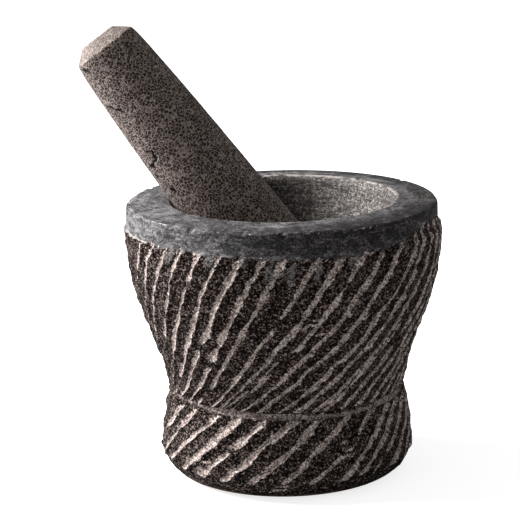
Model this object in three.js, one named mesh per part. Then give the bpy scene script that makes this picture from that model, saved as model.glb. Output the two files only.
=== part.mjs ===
// A carved granite molcajete: a footed mortar with chiselled slanting flutes, and its loose pestle.
// Millimetres, +Z up. The origin is the centre of the flat base, +X is to the right seen from the
// front and +Y points away from the viewer. The pestle rests in the bowl and leans on the lip.
import * as THREE from "three";

// Mortar, outside: heights are above the base, and radii are from the vertical axis.
const RIM_HEIGHT = 145.5;
const RIM_RADIUS = 80.6;
const BAND_LOW_RADIUS = 81.4;
const BAND_LOW_HEIGHT = 134;
const RIM_EDGE_CHAMFER = 0.8;
const SHOULDER_RADIUS = 83.2;
const SHOULDER_HEIGHT = 131.5;
const NECK_HEIGHT = 45.5;
const NECK_GROOVE_RADIUS = 61.2;
const NECK_GROOVE_HALF_WIDTH = 1.1;
const NECK_UPPER_RADIUS = 62.4;
const NECK_LOWER_RADIUS = 62.9;
const FOOT_RADIUS = 67.2;
const FOOT_WIDEST_HEIGHT = 12;
const BASE_RADIUS = 52;

// Control points that pull the outline's curves: at the base's edge, up the foot's wall, and at the
// lower and upper ends of the body's flare.
const BASE_EDGE_PULL = new THREE.Vector2(63.6, 1);
const FOOT_WALL_PULL = new THREE.Vector2(66.8, 27.5);
const FLARE_LOWER_PULL = new THREE.Vector2(65, 69.5);
const FLARE_UPPER_PULL = new THREE.Vector2(83.6, 94.5);

// Mortar, inside: the lip stands a little above the outer rim edge.
const LIP_RADIUS = 59.6;
const LIP_HEIGHT = 146.7;
const BEVEL_RADIUS = 57.6;
const BEVEL_HEIGHT = 144.1;
const BOWL_DEPTH = 82;
const BOWL_FULLNESS = 2.4;

// Flutes: the body and the foot are carved separately, on either side of the neck groove.
const BODY_FLUTES = 43;
const FOOT_FLUTES = 28;
const FLUTE_DEPTH = 2;
const BODY_TWIST = THREE.MathUtils.degToRad(56);
const BODY_TWIST_BIAS = 0.62;
const FOOT_TWIST = THREE.MathUtils.degToRad(32);

// Pestle: a ground shaft that widens from a chamfered cap to a rounded head.
const SHAFT_TOP_RADIUS = 17.3;
const HEAD_RADIUS = 25.4;
const SHAFT_SWELL = 0.65;
const CAP_HEIGHT = 6.5;
const CAP_TOP_RADIUS = 9.6;
const HEAD_ROUND_LENGTH = 23;

// Where the pestle rests: its axis crosses the rim plane at this point, leaning left and slightly back.
const REST_X = -30.2;
const REST_Y = -2.4;
const TILT = THREE.MathUtils.degToRad(36.6);
const LEAN_BACK = THREE.MathUtils.degToRad(7);
const LENGTH_ABOVE_RIM = 108.4;
const LENGTH_BELOW_RIM = 93;

// Smoothness of the turned surfaces. The mortar has three columns of faces for each body flute.
const MORTAR_SEGMENTS = 3 * BODY_FLUTES;
const PESTLE_SEGMENTS = 48;
const BASE_EDGE_ROWS = 3;
const BODY_ROWS = 7;
const FOOT_ROWS = 4;
const BOWL_ROWS = 8;
const SHAFT_ROWS = 9;
const SHAFT_ROW_CROWDING = 1.6;
const HEAD_ROWS = 6;

const graniteDark = new THREE.MeshStandardMaterial({
  color: 0x5b5552,
  roughness: 0.9,
  metalness: 0,
});
const graniteBrown = new THREE.MeshStandardMaterial({
  color: 0x6b625c,
  roughness: 0.78,
  metalness: 0,
});

// A point of a turned profile. twist turns the whole ring about the axis, and carved says which
// set of flutes cuts it, if any.
function ring(radius, height, twist = 0, carved = null) {
  return { radius, height, twist, carved };
}

// Twist of the body's flutes at a height: they lean more steeply near the neck than at the shoulder.
function bodyTwist(height) {
  const share = (height - NECK_HEIGHT) / (SHOULDER_HEIGHT - NECK_HEIGHT);
  return BODY_TWIST * Math.pow(Math.max(share, 0), BODY_TWIST_BIAS);
}

function footRings() {
  const rings = [ring(0, 0, -FOOT_TWIST), ring(BASE_RADIUS, 0, -FOOT_TWIST)];
  const baseEdge = new THREE.QuadraticBezierCurve(
    new THREE.Vector2(BASE_RADIUS, 0),
    BASE_EDGE_PULL,
    new THREE.Vector2(FOOT_RADIUS, FOOT_WIDEST_HEIGHT),
  );
  for (let row = 1; row < BASE_EDGE_ROWS; row += 1) {
    const point = baseEdge.getPoint(row / BASE_EDGE_ROWS);
    rings.push(ring(point.x, point.y, -FOOT_TWIST));
  }
  const wall = new THREE.QuadraticBezierCurve(
    new THREE.Vector2(FOOT_RADIUS, FOOT_WIDEST_HEIGHT),
    FOOT_WALL_PULL,
    new THREE.Vector2(NECK_LOWER_RADIUS, NECK_HEIGHT - NECK_GROOVE_HALF_WIDTH),
  );
  for (let row = 0; row < FOOT_ROWS; row += 1) {
    const share = row / FOOT_ROWS;
    const point = wall.getPoint(share);
    rings.push(ring(point.x, point.y, FOOT_TWIST * (share - 1), FOOT_FLUTES));
  }
  rings.push(ring(NECK_LOWER_RADIUS, NECK_HEIGHT - NECK_GROOVE_HALF_WIDTH));
  return rings;
}

function bodyRings() {
  const rings = [
    ring(NECK_GROOVE_RADIUS, NECK_HEIGHT),
    ring(NECK_UPPER_RADIUS, NECK_HEIGHT + NECK_GROOVE_HALF_WIDTH),
  ];
  const flare = new THREE.CubicBezierCurve(
    new THREE.Vector2(NECK_UPPER_RADIUS, NECK_HEIGHT + NECK_GROOVE_HALF_WIDTH),
    FLARE_LOWER_PULL,
    FLARE_UPPER_PULL,
    new THREE.Vector2(SHOULDER_RADIUS, SHOULDER_HEIGHT),
  );
  for (let row = 1; row <= BODY_ROWS; row += 1) {
    const point = flare.getPoint(row / BODY_ROWS);
    rings.push(ring(point.x, point.y, bodyTwist(point.y), BODY_FLUTES));
  }
  return rings;
}

function rimRings() {
  return [
    ring(BAND_LOW_RADIUS, BAND_LOW_HEIGHT, BODY_TWIST),
    ring(RIM_RADIUS, RIM_HEIGHT - RIM_EDGE_CHAMFER, BODY_TWIST),
    ring(RIM_RADIUS - RIM_EDGE_CHAMFER, RIM_HEIGHT, BODY_TWIST),
    ring(LIP_RADIUS, LIP_HEIGHT, BODY_TWIST),
    ring(BEVEL_RADIUS, BEVEL_HEIGHT, BODY_TWIST),
  ];
}

// The bowl is a superellipse of revolution, a little fuller than a half ellipsoid.
function bowlRings() {
  const rings = [];
  const depth = BEVEL_HEIGHT - (RIM_HEIGHT - BOWL_DEPTH);
  for (let row = 1; row <= BOWL_ROWS; row += 1) {
    const angle = (row / BOWL_ROWS) * (Math.PI / 2);
    const across = row === BOWL_ROWS ? 0 : Math.pow(Math.cos(angle), 2 / BOWL_FULLNESS);
    const down = Math.pow(Math.sin(angle), 2 / BOWL_FULLNESS);
    rings.push(ring(BEVEL_RADIUS * across, BEVEL_HEIGHT - depth * down, BODY_TWIST));
  }
  return rings;
}

// Turns a list of rings into a closed lathe body with its axis along +Z.
function turned(rings, segments) {
  const profile = rings.map((r) => new THREE.Vector2(r.radius, r.height));
  const geometry = new THREE.LatheGeometry(profile, segments);
  geometry.rotateX(Math.PI / 2);
  return geometry;
}

// Whether a flute's bottom runs along this column, with the flutes shared out evenly over the columns.
function isGroove(column, flutes, segments) {
  const before = Math.floor((column * flutes) / segments);
  const after = Math.floor(((column + 1) * flutes) / segments);
  return after > before;
}

// Twists the rings and sinks each flute's bottom, so that the columns run along the flutes.
function carve(geometry, rings, segments) {
  const position = geometry.getAttribute("position");
  for (let index = 0; index < position.count; index += 1) {
    const column = Math.floor(index / rings.length) % segments;
    const { radius, height, twist, carved } = rings[index % rings.length];
    const sunk = carved !== null && isGroove(column, carved, segments);
    const carvedRadius = sunk ? radius - FLUTE_DEPTH : radius;
    const angle = (column / segments) * 2 * Math.PI + twist;
    position.setXYZ(
      index,
      carvedRadius * Math.sin(angle),
      -carvedRadius * Math.cos(angle),
      height,
    );
  }
  geometry.deleteAttribute("normal");
  geometry.deleteAttribute("uv");
  geometry.computeVertexNormals();
  return geometry;
}

function makeMortar() {
  const rings = [...footRings(), ...bodyRings(), ...rimRings(), ...bowlRings()];
  const geometry = carve(turned(rings, MORTAR_SEGMENTS), rings, MORTAR_SEGMENTS);
  const mortar = new THREE.Mesh(geometry, graniteDark);
  mortar.name = "mortar";
  return mortar;
}

// The pestle's own frame has its axis along +Z, with zero where the axis crosses the rim plane.
function pestleRings() {
  const headStart = HEAD_ROUND_LENGTH - LENGTH_BELOW_RIM;
  const shaftTop = LENGTH_ABOVE_RIM - CAP_HEIGHT;
  const shaftLength = shaftTop - headStart;
  const rings = [];
  for (let row = 0; row < HEAD_ROWS; row += 1) {
    const angle = (row / HEAD_ROWS) * (Math.PI / 2);
    rings.push(ring(HEAD_RADIUS * Math.sin(angle), headStart - HEAD_ROUND_LENGTH * Math.cos(angle)));
  }
  const widening = HEAD_RADIUS - SHAFT_TOP_RADIUS;
  for (let row = 0; row <= SHAFT_ROWS; row += 1) {
    // Rows crowd towards the cap, where the shaft widens fastest.
    const fromTop = Math.pow(1 - row / SHAFT_ROWS, SHAFT_ROW_CROWDING);
    const radius = SHAFT_TOP_RADIUS + widening * Math.pow(fromTop, SHAFT_SWELL);
    rings.push(ring(radius, shaftTop - shaftLength * fromTop));
  }
  rings.push(ring(CAP_TOP_RADIUS, LENGTH_ABOVE_RIM));
  rings.push(ring(0, LENGTH_ABOVE_RIM));
  return rings;
}

function makePestle() {
  const pestle = new THREE.Mesh(turned(pestleRings(), PESTLE_SEGMENTS), graniteBrown);
  const up = new THREE.Vector3(0, 0, 1);
  const along = new THREE.Vector3(
    -Math.sin(TILT) * Math.cos(LEAN_BACK),
    Math.sin(TILT) * Math.sin(LEAN_BACK),
    Math.cos(TILT),
  );
  pestle.position.set(REST_X, REST_Y, RIM_HEIGHT);
  pestle.quaternion.setFromUnitVectors(up, along);
  pestle.name = "pestle";
  return pestle;
}

const molcajete = new THREE.Group();
molcajete.name = "molcajete";
molcajete.add(makeMortar(), makePestle());

export default molcajete;
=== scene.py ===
"""Looks of a carved granite molcajete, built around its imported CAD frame.

The frame is in metres with +Z up. Shapes here are worked out in millimetres and stored in metres.
Both pieces are turned meshes whose outline comes from the CAD node they stand for. The carving is
displaced geometry, and its masks are mesh attributes that colour the stone.
"""
import itertools
import math

import bpy
import numpy as np
from mathutils import Euler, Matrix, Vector


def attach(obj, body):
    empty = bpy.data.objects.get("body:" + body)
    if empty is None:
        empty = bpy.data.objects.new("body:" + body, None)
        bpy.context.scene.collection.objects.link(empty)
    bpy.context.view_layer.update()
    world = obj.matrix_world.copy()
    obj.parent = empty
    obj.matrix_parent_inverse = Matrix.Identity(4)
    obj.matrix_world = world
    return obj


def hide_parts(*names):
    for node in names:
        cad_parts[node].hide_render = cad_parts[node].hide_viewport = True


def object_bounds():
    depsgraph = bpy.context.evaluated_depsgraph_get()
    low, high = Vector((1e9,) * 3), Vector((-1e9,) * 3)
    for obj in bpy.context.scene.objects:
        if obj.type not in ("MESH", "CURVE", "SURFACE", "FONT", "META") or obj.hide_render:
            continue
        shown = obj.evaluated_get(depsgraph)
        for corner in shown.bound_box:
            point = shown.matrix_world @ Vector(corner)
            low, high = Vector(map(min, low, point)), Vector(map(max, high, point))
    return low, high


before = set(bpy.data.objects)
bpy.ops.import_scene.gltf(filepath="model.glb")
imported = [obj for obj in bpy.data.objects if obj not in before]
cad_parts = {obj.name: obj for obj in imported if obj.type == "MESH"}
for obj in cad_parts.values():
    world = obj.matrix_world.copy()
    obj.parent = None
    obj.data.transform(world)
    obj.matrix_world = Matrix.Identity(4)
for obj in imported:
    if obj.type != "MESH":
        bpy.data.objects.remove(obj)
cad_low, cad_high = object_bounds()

MM = 0.001
BAKE_UV = "OFBake"

# Mortar mesh: columns follow the flutes, and rows crowd towards the outline's corners.
MORTAR_COLUMNS = 640
OUTLINE_STEP = 0.25
RING_GAP = 0.3
CORNER_TURN = math.radians(33)
EDGE_ROUNDING = 0.45
CORNER_ROW = 0.5
CORNER_ROW_GROWTH = 0.35
WALL_ROW = 1.45
BOWL_ROW = 3.5

# The mortar's UV map: the wall is a strip along the top, and the bowl and base are discs.
WALL_STRIP, STRIP_MARGIN = 0.30, 0.005
BOWL_CENTRE, BOWL_REACH = (0.30, 0.345), 0.285
BASE_CENTRE, BASE_REACH = (0.80, 0.20), 0.12

# Flutes across the front, in even runs of (first angle, step, count). Angles are about the axis in
# degrees, 0 to the right and -90 at the front, taken at each flute's top. The back is filled in.
FRONT_FLUTES = ((-152.5, 7.75, 9), (-78.5, 8.6, 6), (-29.5, 6.5, 2))
FRONT_FOOT_FLUTES = ((-149, 12.5, 5), (-86, 14, 4), (-31, 9.5, 3))
BODY_PITCH = 7.9
FOOT_PITCH = 12.6
FOOT_CUTS_LOWEST = 9.5

# Short extra flutes between the others: (angle, height of the upper end).
SHORT_FLUTES = ((-65.5, 77), (-137, 96), (-21, 90), (30, 80), (77, 100), (128, 72), (163, 88))

# Lean: degrees turned from a flute's top to the neck, with more for tops at the front right. The
# first share is straight and the second bends the flute over near the neck.
BODY_LEAN = 44.0
FRONT_LEAN = 15.0
FRONT_LEAN_ANGLE = -48.0
FRONT_LEAN_SPREAD = 30.0
LEAN_STRAIGHT, LEAN_CURVED = 0.73, 0.35
FOOT_LEAN = 1.0

# Cuts, in mm: "room" is how far apart cuts are where they reach full width. They are narrower on
# the right and wider at the front left. A burr starts and crests at shares of the half width.
BODY_CUT = {"half_width": 1.75, "depth": 0.40, "wander": 1.3, "pitch": BODY_PITCH, "room": 8.6}
FOOT_CUT = {"half_width": 2.15, "depth": 0.60, "wander": 1.5, "pitch": FOOT_PITCH, "room": 6.2}
LEAST_ROOM = 0.40
NARROWER_ON_RIGHT = 0.25
WIDER_AT, WIDER_SPREAD, WIDER_SHARE = -102, 18, 0.25
BROKEN_OFF = 0.12
BURR_HEIGHT, BURR_START, BURR_CREST = 0.95, -0.25, 0.95
LANE_STEP = 37.7

# Skin of the carved wall, in mm: it is sunk below the CAD outline, and then roughened.
SKIN_SUNK = 0.85
LUMP_SIZE, LUMP_HEIGHT = 17, 0.5
ROUGH_SIZE, ROUGH_HEIGHT = 5.5, 0.50
GRIT_SIZE, GRIT_HEIGHT = 1.9, 0.35
PATCH_HEIGHT = 0.3
DASH_DEPTH = 0.55

# Band and rim, in mm: the band's lower edge rises by (angle, spread, rise), and its face bulges
# out at one angle and has shallow facets of (count round, height, phase).
BAND_EDGE_RISES = ((-24, 20, 4.2), (10, 35, 2.0))
BULGE_AT, BULGE_SPREAD, BULGE_HEIGHT = 181, 24, 1.5
FACETS = ((7, 0.35, 0.8), (11, 0.25, 2.1))
LEDGE_CHIP_DEPTH, RIM_FLAKE_DEPTH = 0.6, 0.55
GROOVE_DEPTH, GROOVE_HALF_HEIGHT, GROOVE_SWAY = 0.5, 1.0, 0.9
SAWN_HEIGHT = 3.4

# Directions round the axis: of the light, whose side of the band gets painted light, of the rim
# edge's worst flaking, and of the lit sides of the bowl and its lip, which get painted light too.
LIGHT_SIDE = math.radians(200)
FLAKED_SIDE = math.radians(215)
LIT_LIP_SIDE = math.radians(55)
LIT_BOWL_SIDE = math.radians(10)

# Short level chisel marks in clusters: (angle, height, how many, stretch).
DASH_CLUSTERS = (
    (-82, 96, 5, 1), (-62, 99, 2, 1), (-62, 26, 5, 1), (-132, 16, 6, 1), (-95, 9, 2, 2),
    (40, 90, 5, 1), (95, 70, 4, 1), (130, 24, 6, 1), (170, 100, 4, 1), (10, 20, 4, 1),
)

# Pestle mesh: columns crowd towards one angle and rows towards the cracks.
PESTLE_COLUMNS = 240
PESTLE_DENSE_ANGLE = -50
PESTLE_ROW = 1.4
PESTLE_CRACK_ROW = 0.5
PESTLE_ROUNDING = 0.4

# Cracks and pits in the pestle's shaft: points are (angle, mm below the shoulder), where angle 0
# faces the front and -90 the lower left, followed by the half width and depth in mm.
PESTLE_CRACKS = (
    (((-55, 3.2), (-47, 6)), 0.85, 1.4),
    (((-60, 25), (-54, 26.8), (-50, 26.4), (-45, 29.4), (-40, 29.6), (-35, 32)), 0.45, 0.9),
    (((-57, 29.5), (-51, 32)), 0.28, 0.5),
    (((-45, 55.5), (-38, 56), (-33, 57.5)), 0.26, 0.5),
    (((-33, 57.5), (-36, 59.5), (-33, 61), (-39, 62.4), (-42, 61.8), (-50, 63.6)), 0.4, 0.9),
    (((-55, 63.2), (-51, 64.6)), 0.8, 1.3),
    (((-65, 51.5), (-64, 52.5)), 0.55, 0.9),
    (((-60, 68.5), (-59, 69.8)), 0.6, 1),
    (((-45, 79.2), (-44, 80.8)), 0.75, 1.1),
    (((38, 6), (40, 6.6)), 0.45, 0.7),
)

# Patches of ground skin left below the band: (angle, height, half width, half length).
LEFT_PATCHES = (
    (-95.7, 127, 2, 6), (-88, 125.5, 2.4, 6.5), (-78.8, 125.5, 1.6, 6.5),
    (-117, 131, 2.6, 3), (-134.5, 131, 2.6, 3.5), (-104.5, 131.5, 2.4, 3),
    (-66, 130, 2.4, 3.5), (-42, 131, 2.4, 4), (58, 127, 2.4, 5.5),
    (86, 129, 2.2, 4), (121, 127.5, 2, 6), (168, 130, 2.6, 3.5),
)

# Chips knocked out of the rim's outer edge: (angle, radius, depth).
RIM_CHIPS = (
    (-125.5, 2.6, 1), (-90.5, 2.1, 0.8), (-58, 1.6, 0.5), (34, 2.2, 0.8), (151, 2.4, 0.9),
)

# Hairline cracks in the rim's band: points are (angle, height above the base).
BAND_CRACKS = (
    (((-139, 141), (-133, 138.5), (-127, 139.5), (-121, 137)), 0.25, 0.35),
    (((-116, 142.5), (-110, 139), (-103, 138)), 0.22, 0.35),
    (((-58, 141), (-50, 139.5), (-44, 140.5)), 0.22, 0.3),
)


# ---- numbers

def ramp(value, start, end):
    """0 at start, 1 at end, smooth between, whichever of the two is larger."""
    share = np.clip((value - start) / (end - start), 0, 1)
    return share * share * (3 - 2 * share)


def noise(points, size, seed):
    """Smooth noise from -1 to 1 at an (n, 3) array of points, varying over about one size."""
    cells = 64
    lattice = np.random.default_rng(seed).uniform(-1, 1, (cells, cells, cells))
    scaled = points / size
    corner = np.floor(scaled).astype(int)
    share = scaled - corner
    share = share * share * (3 - 2 * share)
    total = np.zeros(len(points))
    for offset in itertools.product((0, 1), repeat=3):
        index = (corner + offset) % cells
        weight = np.prod(np.where(np.array(offset) > 0, share, 1 - share), axis=1)
        total += weight * lattice[index[:, 0], index[:, 1], index[:, 2]]
    return total


def fractal(points, size, seed, octaves=3):
    """Noise with each octave half the size and half the height of the one before."""
    return sum(noise(points, size / 2 ** k, seed + k) / 2 ** k for k in range(octaves))


def wrapped(degrees):
    """An angle difference brought between -180 and 180 degrees."""
    return (degrees + 180) % 360 - 180


def arc(degrees, radius):
    """Distance round a circle, the shorter way, with the angle's sign."""
    return wrapped(degrees) * np.pi / 180 * radius


def hump(offset, width):
    """1 where offset is 0, falling away smoothly to 0.02 at twice the width."""
    return np.exp(-(offset / width) ** 2)


def on_circle(turn, radius, height):
    """Points from an angle in radians, a radius and a height."""
    return np.column_stack([radius * np.cos(turn), radius * np.sin(turn), height])


def distance_to_path(across, along, path):
    """Distance from each (across, along) point in mm to a polyline of such points."""
    best = np.full(np.shape(across), np.inf)
    for (x0, y0), (x1, y1) in zip(path, path[1:]):
        dx, dy = x1 - x0, y1 - y0
        share = ((across - x0) * dx + (along - y0) * dy) / (dx * dx + dy * dy)
        share = np.clip(share, 0, 1)
        best = np.minimum(best, np.hypot(across - x0 - share * dx, along - y0 - share * dy))
    return best


# ---- outlines from the frame

def node_points(name):
    """A CAD node's vertices in mm."""
    return np.array([v.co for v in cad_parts[name].data.vertices], float) / MM


def rings(radius, height):
    """The (radius, height) of each ring of a turned solid, lowest first, at its widest."""
    order = np.argsort(height)
    radius, height = radius[order], height[order]
    cuts = np.flatnonzero(np.diff(height) > RING_GAP) + 1
    groups = zip(np.split(radius, cuts), np.split(height, cuts))
    return np.array([(r.max(), h.mean()) for r, h in groups])


def mortar_outline():
    """The mortar's outline: from the base's edge up the outside and down into the bowl."""
    points = node_points("mortar")
    radius, height = np.hypot(points[:, 0], points[:, 1]), points[:, 2]
    lip_radius = radius[height > height.max() - 0.1].max()
    inside = (radius < lip_radius + 0.1) & (height > height.max() / 3)
    outer = rings(radius[~inside], height[~inside])
    inner = rings(radius[inside], height[inside])[::-1]
    inner[-1, 0] = 0
    return np.vstack([outer, inner])


def travelled(points, power=1.0):
    """Distance along a polyline at each of its points, with every step raised to a power."""
    steps = np.linalg.norm(np.diff(points, axis=0), axis=1) ** power
    return np.concatenate([[0], np.cumsum(steps)])


def spline(points, step):
    """A smooth curve through points, sampled about every step, straight at its two ends."""
    padded = np.vstack([2 * points[0] - points[1], points, 2 * points[-1] - points[-2]])
    knots = travelled(padded, 0.5)
    samples = []
    for k in range(1, len(padded) - 2):
        a, b, c, d = padded[k - 1:k + 3]
        ta, tb, tc, td = knots[k - 1:k + 3]
        count = max(2, int(np.ceil(np.linalg.norm(c - b) / step)))
        t = np.linspace(tb, tc, count, endpoint=False)[:, None]

        def between(first, last, start, end):
            return ((end - t) * first + (t - start) * last) / (end - start)

        ab, bc, cd = between(a, b, ta, tb), between(b, c, tb, tc), between(c, d, tc, td)
        samples.append(between(between(ab, bc, ta, tc), between(bc, cd, tb, td), tb, tc))
    return np.vstack(samples + [points[-1:]])


def find_corners(outline):
    """Indices of the outline's points where it turns sharply, with its first and last."""
    heading = np.unwrap(np.arctan2(np.diff(outline[:, 1]), np.diff(outline[:, 0])))
    sharp = np.flatnonzero(np.abs(np.diff(heading)) > CORNER_TURN) + 1
    return [0, *sharp, len(outline) - 1]


def smooth_outline(outline, rounding):
    """The outline as a fine polyline with rounded corners, and where along it the corners are."""
    corners = find_corners(outline)
    stretches = [spline(outline[a:b + 1], OUTLINE_STEP) for a, b in zip(corners, corners[1:])]
    fine = np.vstack([s[:-1] for s in stretches] + [outline[-1:]])
    along = travelled(fine)
    even = np.arange(0, along[-1], OUTLINE_STEP)
    fine = np.column_stack([np.interp(even, along, column) for column in fine.T])
    reach = int(3 * rounding / OUTLINE_STEP)
    weights = np.exp(-0.5 * (np.arange(-reach, reach + 1) * OUTLINE_STEP / rounding) ** 2)
    weights /= weights.sum()
    padded = np.vstack([np.repeat(fine[:1], reach, 0), fine, np.repeat(fine[-1:], reach, 0)])
    fine = np.column_stack([np.convolve(column, weights, "valid") for column in padded.T])
    spots = [even[np.linalg.norm(fine - outline[c], axis=1).argmin()] for c in corners[1:-1]]
    return fine, even, np.array(spots)


class Outline:
    """Rows picked from a fine outline: radius, height, outward normal and distance along it."""

    def __init__(self, fine, along, picked):
        slope = np.gradient(fine, axis=0)
        slope /= np.linalg.norm(slope, axis=1)[:, None]
        self.along = np.asarray(picked)
        columns = (*fine.T, slope[:, 1], -slope[:, 0])
        at_rows = [np.interp(picked, along, column) for column in columns]
        self.radius, self.height, self.normal_out, self.normal_up = at_rows


def pick_rows(length, corners, widest):
    """Distances along the outline for the rows, closer together near a corner."""
    picked = [0.0]
    while picked[-1] < length:
        here = picked[-1]
        near = np.abs(corners - here).min()
        step = min(widest(here), CORNER_ROW + CORNER_ROW_GROWTH * near)
        picked.append(here + step)
    picked[-1] = length
    return picked


# ---- meshes

def new_object(name, data):
    """A scene object that shows this data."""
    made = bpy.data.objects.new(name, data)
    bpy.context.scene.collection.objects.link(made)
    return made


def write_mesh(name, points, faces, uvs, attributes):
    """A smooth mesh object from mm points, index lists and one UV for each face corner."""
    mesh = bpy.data.meshes.new(name)
    mesh.from_pydata((points * MM).tolist(), [], faces)
    mesh.polygons.foreach_set("use_smooth", np.ones(len(faces), bool))
    mesh.uv_layers.new(name=BAKE_UV).data.foreach_set("uv", np.asarray(uvs, np.float32).ravel())
    for key, values in attributes.items():
        layer = mesh.attributes.new(key, "FLOAT", "POINT")
        layer.data.foreach_set("value", np.asarray(values, np.float32))
    mesh.update()
    return new_object(name, mesh)


class Skin:
    """Collects the faces of a turned mesh with the UV of each corner."""

    def __init__(self):
        self.faces, self.uvs = [], []

    def add(self, indices, uvs):
        self.faces.append(indices)
        self.uvs.extend(uvs)

    def quads(self, lower, upper, uv_lower, uv_upper):
        """Joins two rings of equal count. uv_lower and uv_upper hold one more entry than a ring."""
        for i in range(len(lower)):
            k = (i + 1) % len(lower)
            corners = (uv_lower[i], uv_lower[i + 1], uv_upper[i + 1], uv_upper[i])
            self.add((lower[i], lower[k], upper[k], upper[i]), corners)

    def halve(self, fine, coarse, uv_fine, uv_coarse):
        """Joins a ring to one of half its count."""
        for i in range(len(coarse)):
            k = (i + 1) % len(coarse)
            a, b, c = fine[2 * i], fine[2 * i + 1], fine[(2 * i + 2) % len(fine)]
            ua, ub, uc = uv_fine[2 * i], uv_fine[2 * i + 1], uv_fine[2 * i + 2]
            self.add((a, b, coarse[i]), (ua, ub, uv_coarse[i]))
            self.add((b, coarse[k], coarse[i]), (ub, uv_coarse[i + 1], uv_coarse[i]))
            self.add((b, c, coarse[k]), (ub, uc, uv_coarse[i + 1]))

    def fan(self, ring, centre, uv_ring, uv_centre, upward):
        """Closes a ring with triangles to its centre."""
        turn = 1 if upward else -1
        for i in range(len(ring)):
            edge = (ring[i], ring[(i + 1) % len(ring)])[::turn]
            self.add((*edge, centre), (*uv_ring[i:i + 2][::turn], uv_centre))


def polar_uv(columns, centre, radius):
    """UVs of a ring laid out as a circle, with the first repeated at the end."""
    turn = np.linspace(0, 2 * np.pi, columns + 1)
    return np.column_stack([centre[0] + radius * np.cos(turn), centre[1] + radius * np.sin(turn)])


def strip_uv(columns, v):
    """UVs of a ring laid out as a straight line across the map."""
    return np.column_stack([np.linspace(0, 1, columns + 1), np.full(columns + 1, v)])


# ---- flutes

def fill_ring(runs, pitch, seed):
    """The front's runs of flute angles, with more filled in round the back, a little unevenly."""
    front = np.concatenate([first + step * np.arange(count) for first, step, count in runs])
    gap = 360 - (front[-1] - front[0])
    count = round(gap / pitch) - 1
    even = front[-1] + gap * np.arange(1, count + 1) / (count + 1)
    jitter = np.random.default_rng(seed).uniform(-0.12, 0.12, count) * pitch
    return np.concatenate([front, even + jitter])


def lean(angle, height, top, neck):
    """Degrees that a flute has turned back by, at a height, from its place at the top."""
    down = np.clip((top - height) / (top - neck), 0, 1)
    below = np.clip(neck - height, 0, None)
    extra = FRONT_LEAN * hump(wrapped(angle - FRONT_LEAN_ANGLE), FRONT_LEAN_SPREAD)
    share = LEAN_STRAIGHT * down + LEAN_CURVED * down ** 4
    return (BODY_LEAN + extra) * share + FOOT_LEAN * below


def lean_stretch(angle, height, top, neck):
    """How much wider or narrower the leaning spreads the flutes, for tops at these angles."""
    ahead = angle + 0.5 - lean(angle + 0.5, height, top, neck)
    behind = angle - 0.5 - lean(angle - 0.5, height, top, neck)
    return ahead - behind


def lean_slant(angle, radius, height, top, neck):
    """A flute's width across its own direction, as a share of its level width."""
    rate = lean(angle, height - 0.5, top, neck) - lean(angle, height + 0.5, top, neck)
    return 1 / np.hypot(1, np.radians(rate) * radius)


class Flutes:
    """One set of chisel cuts, each with an angle, a top and a bottom, starting from one top."""

    def __init__(self, angles, high, low, cut, seed, top):
        self.angles = np.asarray(angles, float)
        self.high = np.broadcast_to(high, self.angles.shape)
        self.low = np.broadcast_to(low, self.angles.shape)
        self.cut, self.seed, self.top = cut, seed, top

    def room(self, pitch, at):
        """How much of its full width a cut at this angle has, where cuts are one pitch apart."""
        room = np.clip(pitch / self.cut["room"], LEAST_ROOM, 1)
        room = room * (1 - NARROWER_ON_RIGHT * ramp(np.cos(np.radians(at)), 0.5, 0.9))
        return room * (1 + WIDER_SHARE * hump(wrapped(at - WIDER_AT), WIDER_SPREAD))

    def present(self, nearest, height, lane):
        """1 along a cut, 0 past its ends, and almost 0 where a stroke broke off."""
        ends = ramp(height, self.high[nearest] + 0.8, self.high[nearest] - 1.2)
        ends = ends * ramp(height, self.low[nearest] - 1.5, self.low[nearest] + 1.5)
        kept = ramp(noise(lane, 9, self.seed + 5), -0.74, -0.60)
        kept = np.maximum(kept, ramp(height, self.top - 16, self.top - 8))
        return ends * (BROKEN_OFF + (1 - BROKEN_OFF) * kept)

    def carve(self, angle, radius, height, slant, points):
        """How deep in a cut each point is, from 0 on the land to 1 at its middle, and the burr.

        A cut wanders, swells and narrows like a run of strokes. The burr stands along its right:
        1 at the crest, falling away over the land to 0 half way to the next cut.
        """
        offsets = wrapped(angle[:, None] - self.angles[None, :])
        nearest = np.abs(offsets).argmin(axis=1)
        offset = offsets[np.arange(len(angle)), nearest]
        lane = np.column_stack([nearest * LANE_STEP, height, np.zeros(len(height))])
        steps = np.tanh(4 * noise(lane, 12, self.seed + 6))
        wander = self.cut["wander"] * (
            0.30 * steps + 0.45 * noise(lane, 14, self.seed) + 0.40 * noise(lane, 4.0, self.seed + 1)
        )
        beside = offset * np.pi / 180 * radius * slant - wander
        pitch = self.cut["pitch"] * np.pi / 180 * radius * slant
        room = self.room(pitch, self.angles[nearest])
        ragged = 0.55 * noise(points, 2.6, self.seed + 2) + 0.40 * noise(points, 1.3, self.seed + 3)
        width = self.cut["half_width"] * (1 + 0.55 * noise(lane, 6, self.seed + 4)) * room
        share = 1 - (np.abs(beside) + ragged * room) / width
        crest = BURR_CREST * width
        rise = ramp(beside, BURR_START * width, crest)
        fall = np.clip(1 - (beside - crest) / np.maximum(pitch / 2 - crest, 0.5), 0, 1)
        burr = np.where(beside > crest, fall, rise)
        present = self.present(nearest, height, lane)
        return np.clip(share, 0, 1) * present, burr * present


def neck_sides(height, neck):
    """1 on the body above the neck, and 1 on the foot below it."""
    return ramp(height, neck + 0.6, neck + 2.2), ramp(height, neck - 0.6, neck - 2.0)


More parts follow.
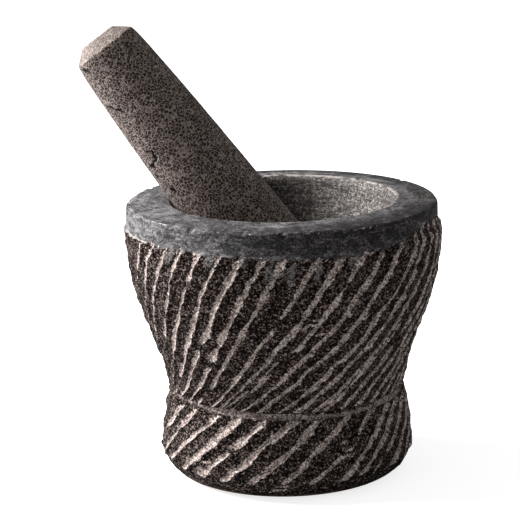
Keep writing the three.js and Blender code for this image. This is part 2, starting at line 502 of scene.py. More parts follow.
def wall_cuts(start, radius, height, points, marks):
    """How deep in a cut each point of the wall is, and the burr, for all the flutes."""
    top, neck = marks["top"], marks["neck"]
    body, foot = neck_sides(height, neck)
    body_slant = lean_slant(start, radius, height, top, neck)
    body_slant = body_slant * lean_stretch(start, height, top, neck)
    foot_slant = 1 / np.hypot(1, math.radians(FOOT_LEAN) * radius)
    neck_angle = start - lean(start, neck, top, neck)
    long_angles = fill_ring(FRONT_FLUTES, BODY_PITCH, 21)
    short_angles, short_tops = zip(*SHORT_FLUTES)
    foot_angles = fill_ring(FRONT_FOOT_FLUTES, FOOT_PITCH, 23)
    sets = (
        (Flutes(long_angles, top + 8, neck + 1, BODY_CUT, 31, top), start, body_slant, body),
        (Flutes(short_angles, short_tops, neck + 1, BODY_CUT, 41, top), start, body_slant, body),
        (Flutes(foot_angles, neck - 1, FOOT_CUTS_LOWEST, FOOT_CUT, 51, neck),
         neck_angle, foot_slant, foot),
    )
    parts = [side * np.array(flutes.carve(angle, radius, height, slant, points))
             for flutes, angle, slant, side in sets]
    return np.max(parts, axis=0)


# ---- mortar

def chips(points, near_edge, size, seed):
    """Small flakes knocked off an edge: 1 in a chip, only where near_edge is 1."""
    return near_edge * ramp(fractal(points, size, seed, 2), 0.25, 0.6)


def chisel_dashes(angle, height, radius, seed):
    """Short level chisel marks scattered over the carved wall."""
    rng = np.random.default_rng(seed)
    found = np.zeros(len(angle))
    for middle, level, count, stretch in DASH_CLUSTERS:
        for _ in range(count):
            at = middle + rng.uniform(-6, 6)
            up = level + rng.uniform(-5, 5)
            half = stretch * rng.uniform(1.0, 2.6)
            across = arc(angle - at, radius)
            tilt = rng.uniform(-0.10, 0.25)
            off = np.hypot(np.clip(np.abs(across) - half, 0, None), height - up - tilt * across)
            found = np.maximum(found, ramp(off, 0.95, 0.35))
    return found


def path_mask(across, along, cracks, scale, wiggle):
    """Depth in mm and painted shade of a set of cracks, whose points are (angle, mm)."""
    depth, dark = np.zeros(len(across)), np.zeros(len(across))
    for path, half_width, deep in cracks:
        line = [(a * np.pi / 180 * scale, s) for a, s in path]
        off = distance_to_path(across, along, line) + wiggle
        depth = np.maximum(depth, deep * ramp(off, half_width * 1.9, half_width * 0.3))
        # The painted shade along each crack.
        dark = np.maximum(dark, ramp(off, half_width * 1.5, half_width * 0.9))
    return depth, dark


def left_patches(angle, height, radius, points):
    """Ground skin left between the tops of some flutes: 1 in a patch."""
    found = np.zeros(len(angle))
    ragged = 0.35 * noise(points, 2.5, 15) + 0.25 * noise(points, 1.2, 16)
    for at, level, half_width, half_length in LEFT_PATCHES:
        across = (arc(angle - at, radius) - 0.25 * (height - level)) / half_width
        reach = np.hypot(across, (height - level) / half_length)
        found = np.maximum(found, ramp(reach + ragged, 1.1, 0.85))
    return found


def band_edge(angle, top):
    """Height of the band's lower edge, which the flutes start from. It rises to the right."""
    rise = sum(up * hump(wrapped(angle - at), spread) for at, spread, up in BAND_EDGE_RISES)
    return top + rise + 0.7 * np.cos(np.radians(3 * angle + 40))


def rim_chips(angle, radius, off_edge, points):
    """Depth in mm of the chips knocked out of the rim's edge, and 1 where there is one."""
    depth, found = np.zeros(len(angle)), np.zeros(len(angle))
    ragged = 0.25 * noise(points, 1.6, 74)
    for at, reach, deep in RIM_CHIPS:
        away = np.hypot(arc(angle - at, radius), 0.8 * off_edge) / reach
        knocked = ramp(away + ragged, 1.0, 0.45)
        depth += deep * knocked
        found = np.maximum(found, knocked)
    return depth, found


def band_relief(angle, points):
    """Relief in mm of the ground band: a bulge, shallow facets and low waves."""
    turn = np.radians(angle)
    facets = sum(high * np.cos(count * turn + phase) for count, high, phase in FACETS)
    bulge = BULGE_HEIGHT * hump(wrapped(angle - BULGE_AT), BULGE_SPREAD)
    return bulge + facets + 0.12 * fractal(points, 9, 75)


def pale_lines(off_rim, off_edge, points):
    """Broken pale lines along the rim's edge and the band's lower edge."""
    rim_line = 0.7 * hump(off_rim, 0.7) * ramp(noise(points, 3.0, 80), -0.25, 0.3)
    edge_line = hump(off_edge - 0.5, 0.7) * ramp(noise(points, 4.0, 83), -0.7, 0.1)
    return rim_line, edge_line


def carved_skin(height, points, cut, burr, left, dashes, neck):
    """Relief in mm of the carved wall: rough land, cuts with their burrs, and what was left."""
    depth = np.where(height > neck, BODY_CUT["depth"], FOOT_CUT["depth"]) * ramp(cut, 0, 0.9)
    rough = ROUGH_HEIGHT * fractal(points, ROUGH_SIZE, 61) + GRIT_HEIGHT * noise(points, GRIT_SIZE, 65)
    rough = rough * (1 - 0.5 * cut) * (1 - 0.7 * left)
    lump = LUMP_HEIGHT * noise(points, LUMP_SIZE, 66)
    raised = PATCH_HEIGHT * left + BURR_HEIGHT * burr
    return lump + rough + raised - SKIN_SUNK - depth - DASH_DEPTH * dashes


def mortar_relief(angle, start, radius, height, along, marks):
    """Outward relief in mm at points of the mortar's outside, and the masks that colour it."""
    neck, rim_edge = marks["neck"], marks["rim_edge"]
    turn = np.radians(angle)
    points = on_circle(turn, radius, height)
    is_wall = along < rim_edge
    edge = band_edge(angle, marks["top"]) + 0.8 * noise(points, 4.0, 11) + 0.5 * noise(points, 1.8, 12)
    carved = ramp(height, edge + 0.25, edge - 0.25) * is_wall
    band = (1 - carved) * is_wall
    left = left_patches(angle, height, radius, points) * carved
    cut, burr = wall_cuts(start, radius, height, points, marks)
    cut = cut * carved * (1 - left)
    dashes = chisel_dashes(angle, height, radius, 24) * carved * ramp(cut, 0.3, 0.0)
    skin = carved_skin(height, points, cut, burr, left, dashes, neck)

    flakes = chips(points, hump(height - edge, 1.1) * is_wall, 2.4, 71)
    rim_flakes = chips(points, hump(along - rim_edge, 1.0), 2.2, 73)
    rim_flakes = rim_flakes * ramp(np.cos(turn - FLAKED_SIDE), -0.75, 0.2)
    chip_depth, knocked = rim_chips(angle, radius, along - rim_edge, points)
    wiggle = 0.5 * noise(points, 2.5, 77)
    crack_depth, crack_shade = path_mask(
        arc(angle, radius), height, BAND_CRACKS, marks["rim_radius"], wiggle)
    groove = hump(height - neck - GROOVE_SWAY * np.sin(turn * 2 + 0.6), GROOVE_HALF_HEIGHT) * is_wall
    body, foot = neck_sides(height, neck)

    relief = skin * carved * ramp(height, 1.0, 6.0) + band * band_relief(angle, points)
    relief -= LEDGE_CHIP_DEPTH * flakes + RIM_FLAKE_DEPTH * rim_flakes + chip_depth
    relief -= GROOVE_DEPTH * groove * (1 - body) * (1 - foot) + crack_depth * is_wall

    rim_flakes = np.maximum(rim_flakes, 0.8 * knocked)
    # Painted light: the band's side facing the key light, and a strip just above its lower edge (more
    # on that side), are coloured paler.
    facing_light = np.clip(np.cos(turn - LIGHT_SIDE) + 0.26 * noise(points, 6, 79), 0, 1)
    above_edge = hump(height - edge - 0.8, 1.8) * band * (0.35 + 0.65 * facing_light)
    rim_line, edge_line = pale_lines(along - rim_edge, height - edge, points)
    masks = {
        "carved": carved,
        "cut": np.maximum(cut, 0.75 * dashes),
        "chip": np.clip(flakes + 0.5 * rim_flakes, 0, 1),
        # Pale bruised lines, kept to the side facing the light: partly painted highlight.
        "line": np.maximum(rim_line, edge_line * is_wall) * facing_light,
        "saw": ramp(height + 0.6 * noise(points, 3.0, 81), SAWN_HEIGHT, SAWN_HEIGHT - 1),
        "left": left,
        "groove": groove * (1 - 0.5 * cut),
        "crack_shade": crack_shade * band,
        "inside": np.zeros(len(angle)),
        "painted_light": np.maximum(facing_light ** 1.5, above_edge),
    }
    return relief, masks


def bowl_relief(angle, radius, height, along, marks):
    """Relief and masks over the rim's top, the lip and the bowl, which are ground smooth."""
    turn = np.radians(angle)
    points = on_circle(turn, radius, height)
    off_lip = along - (marks["lip"] + marks["bevel"]) / 2
    lip = hump(off_lip, 1.8)
    relief = -0.05 + 0.05 * fractal(points, 7, 81) - 0.10 * lip * (1 + noise(points, 2.2, 85))
    inside = ramp(along, marks["lip"] - 0.2, marks["bevel"] + 1.5)
    # Painted highlight: the lip's pale line is stronger at the back right, where the light falls.
    lit_lip = 0.45 + 0.55 * ramp(np.cos(turn - LIT_LIP_SIDE), -0.3, 0.5)
    # Painted light: the bowl's right wall, which faces the key light, is coloured paler.
    lit_bowl = ramp(np.cos(turn - LIT_BOWL_SIDE), 0.25, 0.95)
    # Painted light and sheen: the rim's top is coloured paler, less at the front left.
    rim_painted_light = 0.8 - 0.35 * hump(wrapped(angle + 126), 20)
    masks = dict.fromkeys(("carved", "cut", "groove", "crack_shade", "left", "saw"), np.zeros(len(angle)))
    masks["line"] = hump(off_lip, 1.5) * lit_lip * ramp(noise(points, 2.6, 87), -0.8, 0.2)
    masks["chip"] = 0.55 * lip * ramp(noise(points, 1.6, 86), 0.0, 0.7)
    masks["inside"] = inside
    masks["painted_light"] = rim_painted_light + (lit_bowl - rim_painted_light) * inside
    return relief, masks


def mortar_marks(outline, fine, along, corners):
    """The heights, radius and distances along the outline that the carving starts from."""
    outside = outline[:outline[:, 1].argmax()]
    waist = outside[outside[:, 1] > 0.1 * outside[:, 1].max()]
    shoulder = outline[outline[:, 0].argmax()]
    lip = along[fine[:, 1].argmax()]
    rim = corners[corners < lip - 5].max()
    return {
        "neck": waist[waist[:, 0].argmin(), 1],
        "top": shoulder[1] + 1.2,
        "rim": rim,
        "rim_edge": rim - 0.5,
        "rim_radius": shoulder[0],
        "lip": lip,
        "bevel": corners[corners > lip].min(),
    }


def mortar_faces(ring_index, rows, rim_at, bowl_bottom, base_middle):
    """Faces and UVs of the mortar from its rings of vertices and the two closing points."""
    skin = Skin()
    rim_row = int(np.searchsorted(rows.along, rim_at))
    whole, rim_along = rows.along[-1], rows.along[rim_row]

    def wall_uv(j, columns):
        return strip_uv(columns, 1 - WALL_STRIP * (1 - rows.along[j] / rim_along) - STRIP_MARGIN)

    def disc_uv(j, columns):
        share = (whole - rows.along[j]) / (whole - rim_along)
        return polar_uv(columns, BOWL_CENTRE, BOWL_REACH * share)

    for j in range(len(ring_index) - 1):
        uv = wall_uv if j < rim_row else disc_uv
        lower, upper = ring_index[j], ring_index[j + 1]
        join = skin.quads if len(lower) == len(upper) else skin.halve
        join(lower, upper, uv(j, len(lower)), uv(j + 1, len(upper)))
    last = ring_index[-1]
    skin.fan(last, bowl_bottom, disc_uv(len(ring_index) - 1, len(last)), BOWL_CENTRE, upward=True)
    base_uv = polar_uv(MORTAR_COLUMNS, BASE_CENTRE, BASE_REACH)
    skin.fan(ring_index[0], base_middle, base_uv, BASE_CENTRE, upward=False)
    return skin


def build_mortar():
    """The mortar: fine columns up the carved wall, and half as many over the rim and the bowl."""
    outline = mortar_outline()
    fine, along, corners = smooth_outline(outline, EDGE_ROUNDING)
    marks = mortar_marks(outline, fine, along, corners)
    rim_at, lip_at = marks["rim"], marks["lip"]
    picked = pick_rows(along[-1], corners, lambda s: WALL_ROW if s < rim_at else BOWL_ROW)
    rows = Outline(fine, along, picked)
    split = int(np.searchsorted(rows.along, (rim_at + lip_at) / 2))

    columns = np.where(np.arange(len(rows.along) - 1) < split, MORTAR_COLUMNS, MORTAR_COLUMNS // 2)
    total = columns.sum()
    ring_index = np.split(np.arange(total), np.cumsum(columns)[:-1])
    start = np.concatenate([360 * np.arange(count) / count - 180 for count in columns])
    row = np.repeat(np.arange(len(columns)), columns)
    radius, height, distance = rows.radius[row], rows.height[row], rows.along[row]
    angle = start - lean(start, height, marks["top"], marks["neck"])
    outer = row < split
    relief = np.zeros(total)
    relief[outer], outer_masks = mortar_relief(
        angle[outer], start[outer], radius[outer], height[outer], distance[outer], marks)
    relief[~outer], inner_masks = bowl_relief(
        angle[~outer], radius[~outer], height[~outer], distance[~outer], marks)
    masks = {k: np.concatenate([outer_masks[k], inner_masks[k], [0, 0]]) for k in outer_masks}

    out = radius + relief * rows.normal_out[row]
    up = np.maximum(height + relief * rows.normal_up[row], 0)
    up[row == 0] = 0
    bowl_bottom, base_middle = (0, 0, rows.height[-1]), (0, 0, 0)
    places = np.vstack([on_circle(np.radians(angle), out, up), bowl_bottom, base_middle])
    skin = mortar_faces(ring_index, rows, rim_at, total, total + 1)
    return write_mesh("fluted_mortar", places, skin.faces, skin.uvs, masks)


# ---- pestle

def pestle_frame(points):
    """The pestle's centre and its front, side and axis directions, with the cap end up."""
    centre = points.mean(axis=0)
    axis = np.linalg.eigh(np.cov((points - centre).T))[1][:, -1]
    axis = axis * np.sign(axis[2])
    front = np.array([0.0, -1.0, 0.0])
    front -= front @ axis * axis
    front /= np.linalg.norm(front)
    return centre, front, np.cross(axis, front), axis


def pestle_outline(points, centre, axis):
    """The pestle's outline from its rounded tip to the middle of its cap."""
    offset = points - centre
    along_axis = offset @ axis
    radius = np.linalg.norm(offset - np.outer(along_axis, axis), axis=1)
    outline = rings(radius, along_axis)
    outline[0, 0] = 0
    return outline


def pestle_relief(angle, radius, height, off_shoulder, shoulder):
    """Outward relief in mm at points of the pestle, and the masks that colour it."""
    shoulder_radius, shoulder_height = shoulder
    turn = np.radians(angle)
    points = on_circle(turn, radius, height)
    below = shoulder_height - height
    wiggle = 0.20 * noise(points, 2.0, 91) + 0.18 * noise(points, 1.1, 92)
    across = angle * np.pi / 180 * shoulder_radius
    crack_depth, crack_shade = path_mask(across, below, PESTLE_CRACKS, shoulder_radius, wiggle)
    edge_chips = chips(points, hump(off_shoulder, 0.9), 2.6, 93)
    worn_edge = 0.6 * hump(off_shoulder, 0.5) * ramp(noise(points, 3.0, 97), -0.7, 0.0)
    on_cap = ramp(below, 0.5, -0.5)
    facets = 0.12 * on_cap * np.cos(5 * turn + 1.2) * ramp(radius, 2, 9)
    relief = -0.08 + 0.07 * fractal(points, 8, 95) + facets - 0.22 * edge_chips - crack_depth
    return relief, {"crack_shade": crack_shade, "chip": np.maximum(edge_chips, worn_edge), "cap": on_cap}


def build_pestle():
    """The pestle: rings about its leaning axis, closed at the tip and the cap."""
    points = node_points("pestle")
    centre, front, side, axis = pestle_frame(points)
    outline = pestle_outline(points, centre, axis)
    fine, along, corners = smooth_outline(outline, PESTLE_ROUNDING)
    shoulder_at = corners[0]
    spans = [[shoulder_at - s for _, s in path] for path, _, _ in PESTLE_CRACKS]

    def widest(here):
        cracked = any(min(span) - 2 < here < max(span) + 2 for span in spans)
        return PESTLE_CRACK_ROW if cracked else PESTLE_ROW

    rows = Outline(fine, along, pick_rows(along[-1], corners, widest))
    count = len(rows.along)
    start = 360 * np.arange(PESTLE_COLUMNS) / PESTLE_COLUMNS - 180
    start = start - np.degrees(0.5 * np.sin(np.radians(start - PESTLE_DENSE_ANGLE)))
    row = np.repeat(np.arange(1, count), PESTLE_COLUMNS)
    angle = np.tile(start, count - 1)
    radius, height = rows.radius[row], rows.height[row]
    relief, masks = pestle_relief(angle, radius, height, rows.along[row] - shoulder_at, outline[-2])

    own = on_circle(np.radians(angle), radius + relief * rows.normal_out[row],
                    height + relief * rows.normal_up[row])
    ends = rows.height[[0, -1], None] * axis
    places = centre + np.vstack([own @ np.array([front, side, axis]), ends])
    masks = {k: np.append(values, [0, k == "cap"]) for k, values in masks.items()}

    def uv(j):
        return strip_uv(PESTLE_COLUMNS, 0.02 + 0.96 * rows.along[j + 1] / rows.along[-1])

    index = np.arange(len(angle)).reshape(count - 1, PESTLE_COLUMNS)
    skin = Skin()
    skin.fan(index[0], index.size, uv(0), (0.5, 0.0), upward=False)
    for j in range(count - 2):
        skin.quads(index[j], index[j + 1], uv(j), uv(j + 1))
    skin.fan(index[-1], index.size + 1, uv(count - 2), (0.5, 1.0), upward=True)
    return write_mesh("ground_pestle", places, skin.faces, skin.uvs, masks)


# ---- stone

# Stone tones from dark to light: (value, red, green, blue), in linear colour.
LAND_TONES = (
    (0.3, 0.0014, 0.0008, 0.0006), (0.49, 0.007, 0.0042, 0.0033),
    (0.6, 0.0452, 0.0327, 0.028), (0.74, 0.256, 0.2, 0.181),
    (0.9, 0.5, 0.42, 0.386),
)
BRUISE_TONES = (
    (0.24, 0.04, 0.029, 0.024), (0.42, 0.226, 0.174, 0.154),
    (0.61, 0.53, 0.446, 0.411), (0.82, 0.88, 0.79, 0.755),
)
HONED_TONES = (
    (0.42, 0.0012, 0.0009, 0.0008), (0.49, 0.0074, 0.0061, 0.0058),
    (0.57, 0.025, 0.0221, 0.0216), (0.69, 0.11, 0.1, 0.099),
)
# A lit copy of the honed tones: painted light on the band's lit side and painted sheen on the rim's
# top.
PAINTED_LIT_TONES = (
    (0.41, 0.009, 0.008, 0.008), (0.48, 0.046, 0.0432, 0.0441),
    (0.565, 0.103, 0.0985, 0.101), (0.69, 0.215, 0.2075, 0.211),
)
BOWL_TONES = (
    (0.33, 0.005, 0.0042, 0.0037), (0.46, 0.04, 0.0345, 0.0315),
    (0.57, 0.118, 0.1041, 0.096), (0.7, 0.31, 0.278, 0.2592),
)
# A lit copy of the bowl tones: painted light on the bowl's lit right wall.
LIT_BOWL_TONES = (
    (0.33, 0.04, 0.035, 0.032), (0.46, 0.13, 0.117, 0.109),
    (0.57, 0.29, 0.266, 0.25), (0.7, 0.6, 0.556, 0.529),
)
SCUFFED_TONES = (
    (0.26, 0.012, 0.0105, 0.01), (0.44, 0.085, 0.077, 0.0745),
    (0.6, 0.19, 0.174, 0.169), (0.8, 0.36, 0.335, 0.326),
)
PESTLE_TONES = (
    (0.24, 0.0072, 0.0037, 0.0024), (0.42, 0.0362, 0.0208, 0.0147),
    (0.59, 0.0965, 0.0726, 0.0622), (0.84, 0.292, 0.2445, 0.2245),
)
VEIN_COLOUR = (0.01, 0.009, 0.009, 1)
# Pale bruised edges, also used as painted highlight on the lit side.
LINE_AND_HIGHLIGHT_COLOUR = (0.38, 0.34, 0.315, 1)
# Painted shade inside the band's hairline cracks.
CRACK_SHADE_COLOUR = (0.008, 0.007, 0.006, 1)
SAWN_COLOUR = (0.26, 0.165, 0.125, 1)
CAP_COLOUR = (0.223, 0.185, 0.17, 1)
CHIP_COLOUR = (0.34, 0.265, 0.225, 1)
# Painted shade inside the pestle's cracks and pits.
DEEP_CRACK_SHADE_COLOUR = (0.004, 0.003, 0.003, 1)
CRYSTAL_MM = 1.75
STREAK_RADIUS = 80


def add(tree, kind, inputs=None, **settings):
    """A shader node. An input given as a socket is linked, and any other value is set."""
    node = tree.nodes.new("ShaderNode" + kind)
    for key, value in settings.items():
        setattr(node, key, value)
    for key, value in (inputs or {}).items():
        if isinstance(value, bpy.types.NodeSocket):
            tree.links.new(value, node.inputs[key])
        else:
            node.inputs[key].default_value = value
    return node


def math_node(tree, operation, first, second=0.0, third=0.0):
    """One operation on numbers."""
    inputs = {0: first, 1: second, 2: third}
    return add(tree, "Math", inputs, operation=operation).outputs[0]


def vector_node(tree, operation, first, second):
    """One operation on vectors, where the second may be a scale."""
    inputs = {0: first, ("Scale" if operation == "SCALE" else 1): second}
    return add(tree, "VectorMath", inputs, operation=operation).outputs[0]


def length(tree, vector):
    return add(tree, "VectorMath", {0: vector}, operation="LENGTH").outputs["Value"]


def weighted_sum(tree, offset, *terms):
    """offset plus each term's value times its weight."""
    total = offset
    for value, weight in terms:
        total = math_node(tree, "MULTIPLY_ADD", value, weight, total)
    return total


def mask(tree, name):
    """One of the mesh's own masks."""
    return add(tree, "Attribute", attribute_name=name).outputs["Fac"]


def blend(tree, factor, first, second):
    """first where factor is 0 and second where it is 1."""
    return add(tree, "Mix", {0: factor, 6: first, 7: second}, data_type="RGBA").outputs[2]


def remap(tree, value, low, high, to_low=0.0, to_high=1.0):
    """A smooth step from to_low at low to to_high at high."""
    inputs = {"Value": value, "From Min": low, "From Max": high, "To Min": to_low, "To Max": to_high}
    node = add(tree, "MapRange", inputs, interpolation_type="SMOOTHSTEP")
    return node.outputs["Result"]


def tones(tree, value, stops):
    """A colour ramp from (position, red, green, blue) stops."""
    node = add(tree, "ValToRGB", {"Fac": value})
    ramp_stops = node.color_ramp.elements
    while len(ramp_stops) < len(stops):
        ramp_stops.new(0.5)
    for element, (position, *colour) in zip(ramp_stops, stops):
        element.position = position
        element.color = (*colour, 1)
    return node.outputs["Color"]


def at_size(where, size_mm, **others):
    """A texture node's inputs for features of about size_mm."""
    return {"Vector": where, "Scale": 1 / (size_mm * MM), **others}


def stone_noise(tree, where, size_mm, detail=2.0, roughness=0.5, distortion=0.0):
    """Noise from 0 to 1 that varies over about size_mm."""
    inputs = at_size(where, size_mm, Detail=detail, Roughness=roughness, Distortion=distortion)
    return add(tree, "TexNoise", inputs).outputs["Fac"]


def voronoi(tree, where, size_mm, feature):
    return add(tree, "TexVoronoi", at_size(where, size_mm), feature=feature).outputs


def crystals(tree, where, size_mm):
    """One random value for each crystal."""
    colour = voronoi(tree, where, size_mm, "F1")["Color"]
    return add(tree, "SeparateColor", {"Color": colour}).outputs["Red"]


def crystal_edge(tree, where, size_mm):
    """How far a point is from its crystal's edge, as a share of a crystal's size."""
    return voronoi(tree, where, size_mm, "DISTANCE_TO_EDGE")["Distance"]


def warp(tree, where, size_mm, reach_mm):
    """Coordinates pushed about by noise, so that crystals aren't straight-sided."""
    push = add(tree, "TexNoise", at_size(where, size_mm, Detail=1.0)).outputs["Color"]
    centred = vector_node(tree, "SUBTRACT", push, (0.5, 0.5, 0.5))
    return vector_node(tree, "ADD", where, vector_node(tree, "SCALE", centred, 2 * reach_mm * MM))


def turned_streaks(tree, where, across_mm, round_mm):
    """Noise stretched round the axis, like a grinder's marks on a turning block."""
    flat = vector_node(tree, "MULTIPLY", where, (1, 1, 0))
    facing = vector_node(tree, "NORMALIZE", flat, (0, 0, 0))
    height = add(tree, "SeparateXYZ", {0: where}).outputs["Z"]
    level = math_node(tree, "ADD", length(tree, flat), height)
    level = math_node(tree, "MULTIPLY", level, 1 / (across_mm * MM))
    spun = vector_node(tree, "SCALE", facing, STREAK_RADIUS / round_mm)
    stacked = add(tree, "CombineXYZ", {"Z": level}).outputs[0]
    place = vector_node(tree, "ADD", spun, stacked)
    inputs = {"Vector": place, "Scale": 1.0, "Detail": 3.0, "Roughness": 0.6}
    return add(tree, "TexNoise", inputs).outputs["Fac"]


def new_stone(name):
    """A material with its tree, object coordinates and principled shader."""
    material = bpy.data.materials.new(name)
    material.use_nodes = True
    tree = material.node_tree
    shader = tree.nodes["Principled BSDF"]
    where = add(tree, "TexCoord").outputs["Object"]
    return material, tree, shader, where


def finish_stone(tree, shader, colour, roughness, height, bump_mm):
    """Links a stone's colour, roughness and bump to its shader."""
    tree.links.new(colour, shader.inputs["Base Color"])
    tree.links.new(roughness, shader.inputs["Roughness"])
    bump = add(tree, "Bump", {"Height": height, "Distance": bump_mm * MM, "Strength": 1.0})
    tree.links.new(bump.outputs["Normal"], shader.inputs["Normal"])


def ragged_mask(tree, name, ragged, low, high, strength=1.0):
    """A mesh mask with its soft edge broken up by a ragged value about 0."""
    return remap(tree, math_node(tree, "ADD", mask(tree, name), ragged), low, high, 0.0, strength)


def ground_colour(tree, where, mixed):
    """Ground band and rim with dark veins and painted light, and the bowl with painted light."""
    streaks = turned_streaks(tree, where, 0.8, 14.0)
    flattened = vector_node(tree, "MULTIPLY", where, (1, 1, 2.2))
    blotch = stone_noise(tree, flattened, 6.5, 5.0, 0.68, 0.6)
    honed_value = weighted_sum(tree, -0.13, (mixed, 0.40), (blotch, 0.68), (streaks, 0.26))
    # Painted light: the lit copy of the honed tones on the band's lit side and the rim's top.
    painted_light = mask(tree, "painted_light")
    painted_lit = tones(tree, honed_value, PAINTED_LIT_TONES)
    honed = blend(tree, painted_light, tones(tree, honed_value, HONED_TONES), painted_lit)
    veins = turned_streaks(tree, where, 4.5, 26.0)
    off_vein = math_node(tree, "ABSOLUTE", math_node(tree, "SUBTRACT", veins, 0.5))
    vein = remap(tree, off_vein, 0.004, 0.018, 1.0, 0.0)
    vein = math_node(tree, "MULTIPLY", vein, remap(tree, blotch, 0.45, 0.60, 0.9, 0.0))
    honed = blend(tree, vein, honed, VEIN_COLOUR)
    bowl_value = weighted_sum(tree, 0.0, (mixed, 0.55), (streaks, 0.42))
    # Painted light on the bowl's lit side.
    lit_bowl = math_node(tree, "MULTIPLY", painted_light, 0.38)
    bowl = tones(tree, bowl_value, BOWL_TONES)
    bowl = blend(tree, lit_bowl, bowl, tones(tree, bowl_value, LIT_BOWL_TONES))
    return blend(tree, mask(tree, "inside"), honed, bowl)


def mortar_stone():
    """Fluted granite: rough dark land, pale bruised cuts, ground band and rim, and the bowl."""
    material, tree, shader, where = new_stone("fluted_granite")
    grain = crystals(tree, where, 0.80)
    fine = stone_noise(tree, where, 0.68, 2.0, 0.6, 0.8)
    cloud = stone_noise(tree, where, 6.0, 4.0, 0.6)
    speckle = stone_noise(tree, where, 1.9, 2.0, 0.6, 0.5)
    mixed = weighted_sum(tree, -0.31, (fine, 0.95), (grain, 0.42), (cloud, 0.25))
    speckled = weighted_sum(tree, -0.12, (mixed, 1.0), (speckle, 0.24))
    ragged = weighted_sum(tree, -0.40, (fine, 0.8))
    nicked = weighted_sum(tree, -0.25, (ragged, 1.0), (speckle, 0.5))
    carved = ragged_mask(tree, "carved", ragged, 0.40, 0.60)
    bruise = tones(tree, speckled, BRUISE_TONES)

    left = ragged_mask(tree, "left", ragged, 0.25, 0.60, 0.9)
    land = tones(tree, speckled, LAND_TONES)
    land = blend(tree, left, land, tones(tree, mixed, SCUFFED_TONES))
    # Pale bruised lines with painted highlight on the lit side.
    line = ragged_mask(tree, "line", ragged, 0.30, 0.70, 0.7)
    ground = blend(tree, line, ground_colour(tree, where, mixed), LINE_AND_HIGHLIGHT_COLOUR)
    colour = blend(tree, carved, ground, land)
    cut = ragged_mask(tree, "cut", nicked, 0.24, 0.44)
    groove = remap(tree, mask(tree, "groove"), 0.40, 0.70, 0.0, 0.80)
    chip = ragged_mask(tree, "chip", ragged, 0.30, 0.60, 0.75)
    for bruised in (cut, groove, chip):
        colour = blend(tree, bruised, colour, bruise)
    # Painted shade in the band's cracks.
    colour = blend(tree, mask(tree, "crack_shade"), colour, CRACK_SHADE_COLOUR)
    sawn = ragged_mask(tree, "saw", ragged, 0.4, 0.8, 0.8)
    colour = blend(tree, sawn, colour, SAWN_COLOUR)

    rough = weighted_sum(tree, 0.70, (carved, 0.20))
    relief = weighted_sum(tree, 0.20, (carved, 0.80))
    finish_stone(tree, shader, colour, rough, math_node(tree, "MULTIPLY", mixed, relief), 1.1)
    tree.links.new(remap(tree, carved, 0.0, 1.0, 0.22, 0.05), shader.inputs["Specular IOR Level"])
    return material


def pestle_stone():
    """Ground granite: dark brown crystals in a paler net, paler again on the cap."""
    material, tree, shader, where = new_stone("ground_granite")
    fine = stone_noise(tree, where, 0.72, 2.0, 0.6)
    cloud = stone_noise(tree, where, 12.0, 3.0, 0.55)
    warped = warp(tree, where, 1.0, 0.40)
    net = remap(tree, crystal_edge(tree, warped, CRYSTAL_MM), 0.02, 0.17, 1.0, 0.0)
    light_grain = remap(tree, crystals(tree, warped, CRYSTAL_MM), 0.80, 0.88, 0.0, 0.8)
    small_grain = crystals(tree, where, 0.7)
    pale = math_node(tree, "MAXIMUM", net, light_grain)
    value = weighted_sum(tree, -0.375, (fine, 1.05), (pale, 0.4), (small_grain, 0.2), (cloud, 0.2))
    colour = tones(tree, value, PESTLE_TONES)
    paler = blend(tree, 0.34, colour, CAP_COLOUR)
    colour = blend(tree, mask(tree, "cap"), colour, paler)
    chip = remap(tree, mask(tree, "chip"), 0.2, 0.7, 0.0, 0.6)
    colour = blend(tree, chip, colour, CHIP_COLOUR)
    # Painted shade in the pestle's cracks and pits.
    colour = blend(tree, mask(tree, "crack_shade"), colour, DEEP_CRACK_SHADE_COLOUR)
    rough = remap(tree, fine, 0.2, 0.8, 0.65, 0.85)
    finish_stone(tree, shader, colour, rough, math_node(tree, "ADD", value, fine), 0.16)
    shader.inputs["Specular IOR Level"].default_value = 0.18
    return material


# ---- stage

KEY_TARGET = Vector((0, 0, 0.11))
KEY_DIRECTION = Vector((-1.6, 0.30, 0.98)).normalized()
KEY_DISTANCE = 1.15
KEY_SIZE = 0.55
KEY_POWER = 46.0
WORLD_STRENGTH = 0.42
FLOOR_HALF = 12.0
FLOOR_FADE_START = 0.10
FLOOR_FADE_END = 0.55


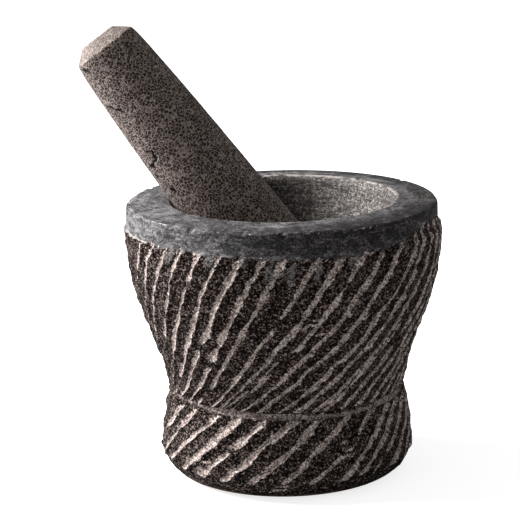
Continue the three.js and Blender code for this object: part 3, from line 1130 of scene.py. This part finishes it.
def build_floor():
    """A pale floor, which looks bright to the camera but sends little light up at the object."""
    mesh = bpy.data.meshes.new("floor")
    corners = [(x * FLOOR_HALF, y * FLOOR_HALF, 0) for x, y in ((-1, -1), (1, -1), (1, 1), (-1, 1))]
    mesh.from_pydata(corners, [], [(0, 1, 2, 3)])
    floor = new_object("floor", mesh)
    floor.location.z = -0.0002
    material = bpy.data.materials.new("pale_floor")
    material.use_nodes = True
    tree = material.node_tree
    tree.nodes.clear()
    seen = add(tree, "BsdfDiffuse", {"Color": (0.62, 0.62, 0.62, 1)})
    where = add(tree, "TexCoord").outputs["Object"]
    by_camera = add(tree, "LightPath").outputs["Is Camera Ray"]
    glow_strength = remap(tree, length(tree, where), FLOOR_FADE_START, FLOOR_FADE_END, 0.78, 1.0)
    glow = add(tree, "Emission", {"Color": (1, 1, 1, 1), "Strength": glow_strength})
    bright = add(tree, "AddShader", {0: seen.outputs[0], 1: glow.outputs[0]})
    dim = add(tree, "BsdfDiffuse", {"Color": (0.45, 0.45, 0.45, 1)})
    both = add(tree, "MixShader", {0: by_camera, 1: dim.outputs[0], 2: bright.outputs[0]})
    add(tree, "OutputMaterial", {"Surface": both.outputs[0]}, is_active_output=True)
    mesh.materials.append(material)


def build_lights():
    """One soft key light from the upper left, and an even white surround."""
    key = bpy.data.lights.new("key", "AREA")
    key.shape = "DISK"
    key.size = KEY_SIZE
    key.energy = KEY_POWER
    lamp = new_object("key", key)
    lamp.location = KEY_TARGET + KEY_DIRECTION * KEY_DISTANCE
    lamp.rotation_euler = KEY_DIRECTION.to_track_quat("Z", "Y").to_euler()
    world = bpy.data.worlds.new("studio")
    world.use_nodes = True
    tree = world.node_tree
    background = tree.nodes["Background"]
    background.inputs["Color"].default_value = (1, 1, 1, 1)
    seen = add(tree, "LightPath").outputs["Is Camera Ray"]
    tree.links.new(remap(tree, seen, 0, 1, WORLD_STRENGTH, 1.0), background.inputs["Strength"])
    bpy.context.scene.world = world


CAMERA_ELEVATION = math.radians(13.51)
CAMERA_ROLL = math.radians(-1.25)
CAMERA_DISTANCE = 1.1672
CAMERA_LENS = 152.3
AIM_SHIFT = Vector((-0.0019, 0.005, -0.0073))


def build_camera():
    """A long lens straight in front of the mortar, looking down a little."""
    data = bpy.data.cameras.new("camera")
    data.lens = CAMERA_LENS
    data.clip_start, data.clip_end = 0.1, 60
    camera = new_object("camera", data)
    aim = (cad_low + cad_high) / 2 + AIM_SHIFT
    back = Vector((0, -math.cos(CAMERA_ELEVATION), math.sin(CAMERA_ELEVATION)))
    camera.location = aim + back * CAMERA_DISTANCE
    level = Euler((math.pi / 2 - CAMERA_ELEVATION, 0, 0)).to_matrix()
    camera.rotation_euler = (level @ Euler((0, 0, CAMERA_ROLL)).to_matrix()).to_euler()
    bpy.context.scene.camera = camera


# ---- the object

def main():
    """The two pieces, each on its own body, and the stage."""
    mortar = build_mortar()
    mortar.data.materials.append(mortar_stone())
    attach(mortar, "mortar")
    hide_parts("mortar")

    pestle = build_pestle()
    pestle.data.materials.append(pestle_stone())
    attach(pestle, "pestle")
    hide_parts("pestle")

    build_floor()
    build_lights()
    build_camera()
    bpy.context.scene.view_settings.view_transform = "Standard"


main()
